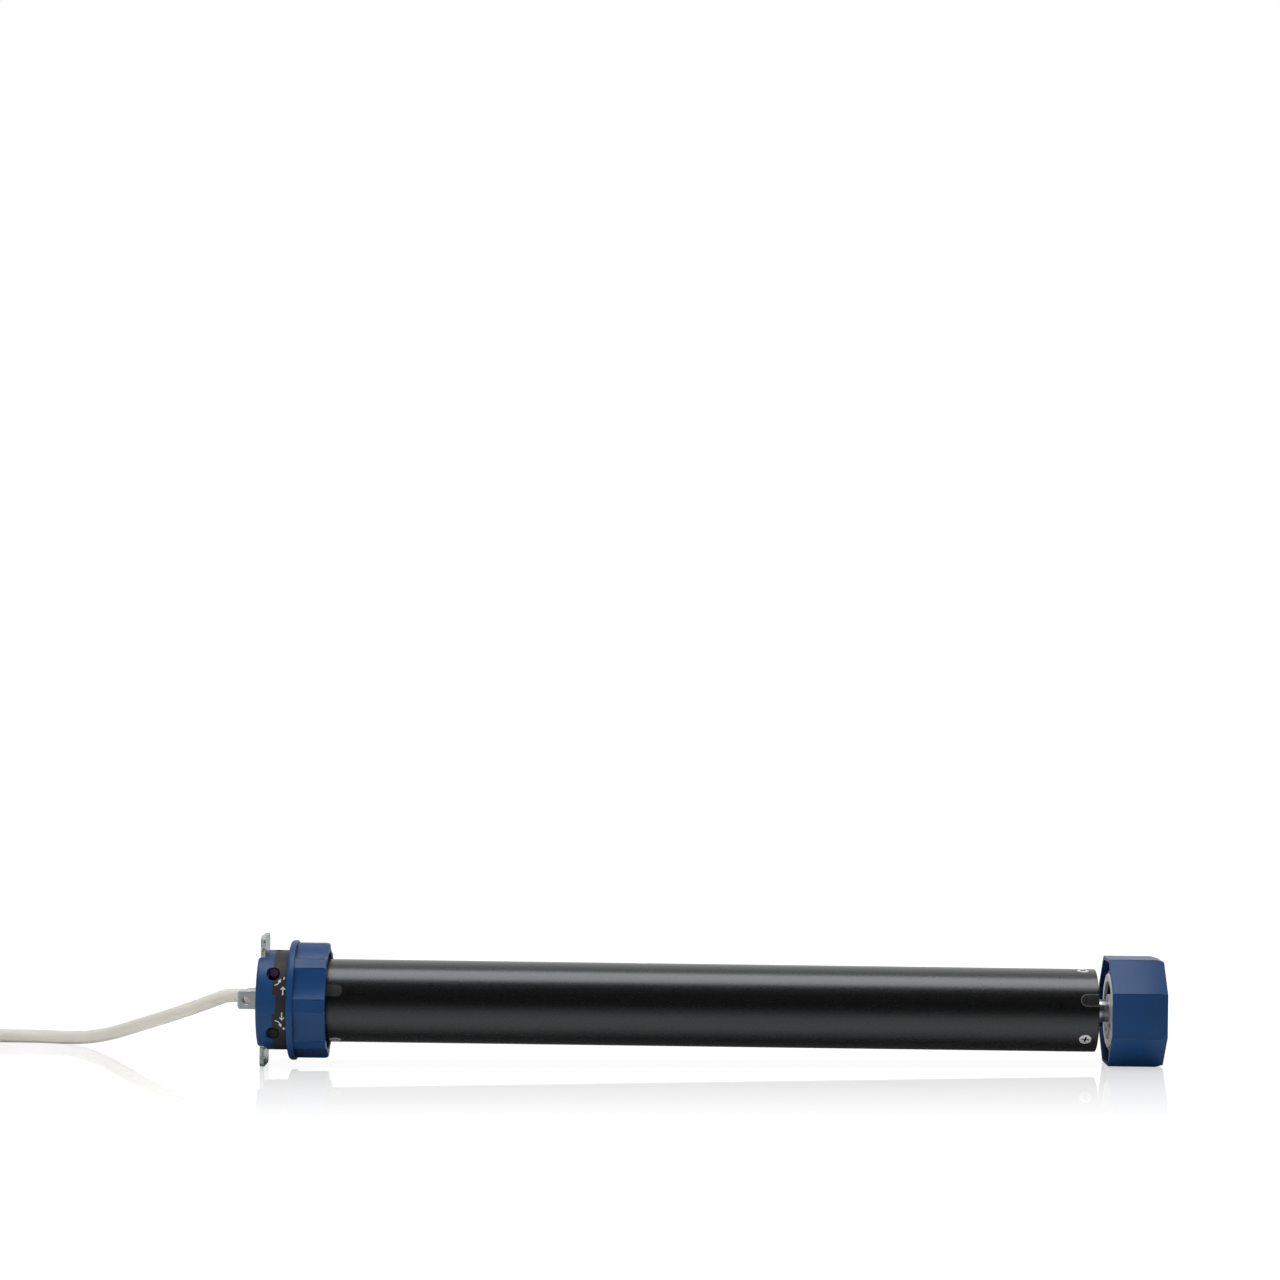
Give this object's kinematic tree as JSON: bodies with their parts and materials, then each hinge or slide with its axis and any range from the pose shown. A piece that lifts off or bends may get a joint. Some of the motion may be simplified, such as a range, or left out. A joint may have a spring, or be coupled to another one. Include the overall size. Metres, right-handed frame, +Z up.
{
  "type": "tubular roller blind motor",
  "caption": "Long black tubular motor with a limit-setting head, mounting plate, square pin and mains lead at one end and an octagonal drive wheel at the other, for turning a roller.",
  "frame": {"origin": "on the tube's axis, at the outer face of the mounting plate", "axes": "+X along the axis from the head to the drive wheel, +Z up along the plate's upper arm, +Y away from the side with the setting holes"},
  "size_m": [0.7553, 0.1422, 0.0744],
  "materials": {
    "zinc": "zinc plated",
    "bright_steel": "bright",
    "blue_plastic": "satin",
    "black_plastic": "matt",
    "black_rubber": "matt",
    "black_nylon": "satin",
    "purple_plastic": "satin",
    "grey_plastic": "matt",
    "gear_plastic": "natural",
    "black_paint": "satin",
    "cast_alloy": "as cast",
    "sheet_iron": "oiled",
    "sintered_steel": "sintered",
    "copper": "enamelled",
    "bronze": "sintered",
    "grey_lead": "satin"
  },
  "bodies": {
    "base": {"mounting_bracket": "zinc", "square_pin": "zinc", "bracket_screws": "bright_steel", "tube_screws": "bright_steel", "motor_bearings": "bright_steel", "brake_spring": "bright_steel", "end_cap": "blue_plastic", "head_housing": "black_plastic", "capacitor_holder": "black_plastic", "gearbox_flange": "black_plastic", "limit_switches": "black_plastic", "cable_tie": "black_nylon", "cable_clamp": "grey_plastic", "counter_plate": "grey_plastic", "terminal_block": "grey_plastic", "capacitor": "grey_plastic", "motor_tube": "black_paint", "rear_end_shield": "cast_alloy", "front_end_shield": "cast_alloy", "stator_core": "sheet_iron", "brake_magnet": "sheet_iron", "gearbox_plate": "sheet_iron", "gear_ring": "sheet_iron", "stator_winding": "copper", "brake_coil": "copper", "core_ends": "copper", "output_bush": "bronze", "mains_cable": "grey_lead", "cable_coil": "grey_lead", "cable_grommet": "grey_lead"},
    "crown": {"limit_crown": "blue_plastic"},
    "pinion": {"limit_pinion": "gear_plastic"},
    "upper_count_a": {"upper_counter_a": "gear_plastic"},
    "upper_count_b": {"upper_counter_b": "gear_plastic"},
    "lower_count_a": {"lower_counter_a": "gear_plastic"},
    "lower_count_b": {"lower_counter_b": "gear_plastic"},
    "upper_screw": {"upper_limit_screw": "purple_plastic"},
    "lower_screw": {"lower_limit_screw": "black_nylon"},
    "rotor": {"rotor_core": "sheet_iron", "rotor_shaft": "bright_steel", "brake_disc": "black_rubber"},
    "armature": {"brake_armature": "sheet_iron"},
    "first_carrier": {"carrier_1": "sintered_steel", "carrier_1_pins": "bright_steel"},
    "second_carrier": {"carrier_2": "sintered_steel", "carrier_2_pins": "bright_steel"},
    "output": {"output_carrier": "bright_steel", "output_pins": "bright_steel", "drive_wheel": "blue_plastic", "wheel_hub": "cast_alloy", "wheel_screw": "bright_steel"},
    "planet_1a": {"planet_1_a": "sintered_steel"},
    "planet_1b": {"planet_1_b": "sintered_steel"},
    "planet_1c": {"planet_1_c": "sintered_steel"},
    "planet_2a": {"planet_2_a": "sintered_steel"},
    "planet_2b": {"planet_2_b": "sintered_steel"},
    "planet_2c": {"planet_2_c": "sintered_steel"},
    "planet_3a": {"planet_3_a": "sintered_steel"},
    "planet_3b": {"planet_3_b": "sintered_steel"},
    "planet_3c": {"planet_3_c": "sintered_steel"}
  },
  "joints": [
    {"name": "rotor_spin", "type": "hinge", "parent": "base", "child": "rotor", "pos_m": [0.2, 0, 0], "axis": [1, 0, 0], "continuous": true},
    {"name": "carrier_1_spin", "type": "hinge", "parent": "base", "child": "first_carrier", "pos_m": [0.36, 0, 0], "axis": [1, 0, 0], "continuous": true},
    {"name": "carrier_2_spin", "type": "hinge", "parent": "base", "child": "second_carrier", "pos_m": [0.38, 0, 0], "axis": [1, 0, 0], "continuous": true},
    {"name": "wheel_spin", "type": "hinge", "parent": "base", "child": "output", "pos_m": [0.47, 0, 0], "axis": [1, 0, 0], "continuous": true},
    {"name": "planet_1a_spin", "type": "hinge", "parent": "first_carrier", "child": "planet_1a", "pos_m": [0.35, 0.01155, 0], "axis": [1, 0, 0], "continuous": true},
    {"name": "planet_1b_spin", "type": "hinge", "parent": "first_carrier", "child": "planet_1b", "pos_m": [0.35, -0.00577, 0.01], "axis": [1, 0, 0], "continuous": true},
    {"name": "planet_1c_spin", "type": "hinge", "parent": "first_carrier", "child": "planet_1c", "pos_m": [0.35, -0.00577, -0.01], "axis": [1, 0, 0], "continuous": true},
    {"name": "planet_2a_spin", "type": "hinge", "parent": "second_carrier", "child": "planet_2a", "pos_m": [0.35, 0.01155, 0], "axis": [1, 0, 0], "continuous": true},
    {"name": "planet_2b_spin", "type": "hinge", "parent": "second_carrier", "child": "planet_2b", "pos_m": [0.35, -0.00577, 0.01], "axis": [1, 0, 0], "continuous": true},
    {"name": "planet_2c_spin", "type": "hinge", "parent": "second_carrier", "child": "planet_2c", "pos_m": [0.35, -0.00577, -0.01], "axis": [1, 0, 0], "continuous": true},
    {"name": "planet_3a_spin", "type": "hinge", "parent": "output", "child": "planet_3a", "pos_m": [0.35, 0.01155, 0], "axis": [1, 0, 0], "continuous": true},
    {"name": "planet_3b_spin", "type": "hinge", "parent": "output", "child": "planet_3b", "pos_m": [0.35, -0.00577, 0.01], "axis": [1, 0, 0], "continuous": true},
    {"name": "planet_3c_spin", "type": "hinge", "parent": "output", "child": "planet_3c", "pos_m": [0.35, -0.00577, -0.01], "axis": [1, 0, 0], "continuous": true},
    {"name": "crown_spin", "type": "hinge", "parent": "base", "child": "crown", "pos_m": [0.026, 0, 0], "axis": [1, 0, 0], "continuous": true},
    {"name": "pinion_spin", "type": "hinge", "parent": "base", "child": "pinion", "pos_m": [0.027, 0, -0.0184], "axis": [1, 0, 0], "continuous": true},
    {"name": "upper_count_a_spin", "type": "hinge", "parent": "base", "child": "upper_count_a", "pos_m": [0.027, 0, 0], "axis": [1, 0, 0], "continuous": true},
    {"name": "upper_count_b_spin", "type": "hinge", "parent": "base", "child": "upper_count_b", "pos_m": [0.027, 0, 0], "axis": [1, 0, 0], "continuous": true},
    {"name": "lower_count_a_spin", "type": "hinge", "parent": "base", "child": "lower_count_a", "pos_m": [0.027, 0, 0], "axis": [1, 0, 0], "continuous": true},
    {"name": "lower_count_b_spin", "type": "hinge", "parent": "base", "child": "lower_count_b", "pos_m": [0.027, 0, 0], "axis": [1, 0, 0], "continuous": true},
    {"name": "upper_setting", "type": "hinge", "parent": "base", "child": "upper_screw", "pos_m": [0.0078, -0.01, 0.0163], "axis": [0, 1, 0], "continuous": true},
    {"name": "lower_setting", "type": "hinge", "parent": "base", "child": "lower_screw", "pos_m": [0.0078, -0.01, -0.0163], "axis": [0, 1, 0], "continuous": true},
    {"name": "brake_release", "type": "slide", "parent": "base", "child": "armature", "axis": [1, 0, 0], "range_m": [0, 0.0008], "stiffness_N_per_m": 2000, "springref_m": -0.003, "deforming": ["brake_spring"]}
  ],
  "couplings": [
    {"joint": "carrier_1_spin", "follows": "rotor_spin", "ratio": 0.18182},
    {"joint": "carrier_2_spin", "follows": "rotor_spin", "ratio": 0.033058},
    {"joint": "wheel_spin", "follows": "rotor_spin", "ratio": 0.0060105},
    {"joint": "planet_1a_spin", "follows": "rotor_spin", "ratio": -0.46753},
    {"joint": "planet_1b_spin", "follows": "rotor_spin", "ratio": -0.46753},
    {"joint": "planet_1c_spin", "follows": "rotor_spin", "ratio": -0.46753},
    {"joint": "planet_2a_spin", "follows": "rotor_spin", "ratio": -0.085006},
    {"joint": "planet_2b_spin", "follows": "rotor_spin", "ratio": -0.085006},
    {"joint": "planet_2c_spin", "follows": "rotor_spin", "ratio": -0.085006},
    {"joint": "planet_3a_spin", "follows": "rotor_spin", "ratio": -0.015456},
    {"joint": "planet_3b_spin", "follows": "rotor_spin", "ratio": -0.015456},
    {"joint": "planet_3c_spin", "follows": "rotor_spin", "ratio": -0.015456},
    {"joint": "pinion_spin", "follows": "crown_spin", "ratio": 4.2857},
    {"joint": "upper_count_a_spin", "follows": "crown_spin", "ratio": -1.875},
    {"joint": "upper_count_b_spin", "follows": "crown_spin", "ratio": -1.8182},
    {"joint": "lower_count_a_spin", "follows": "crown_spin", "ratio": -1.875},
    {"joint": "lower_count_b_spin", "follows": "crown_spin", "ratio": -1.8182}
  ]
}
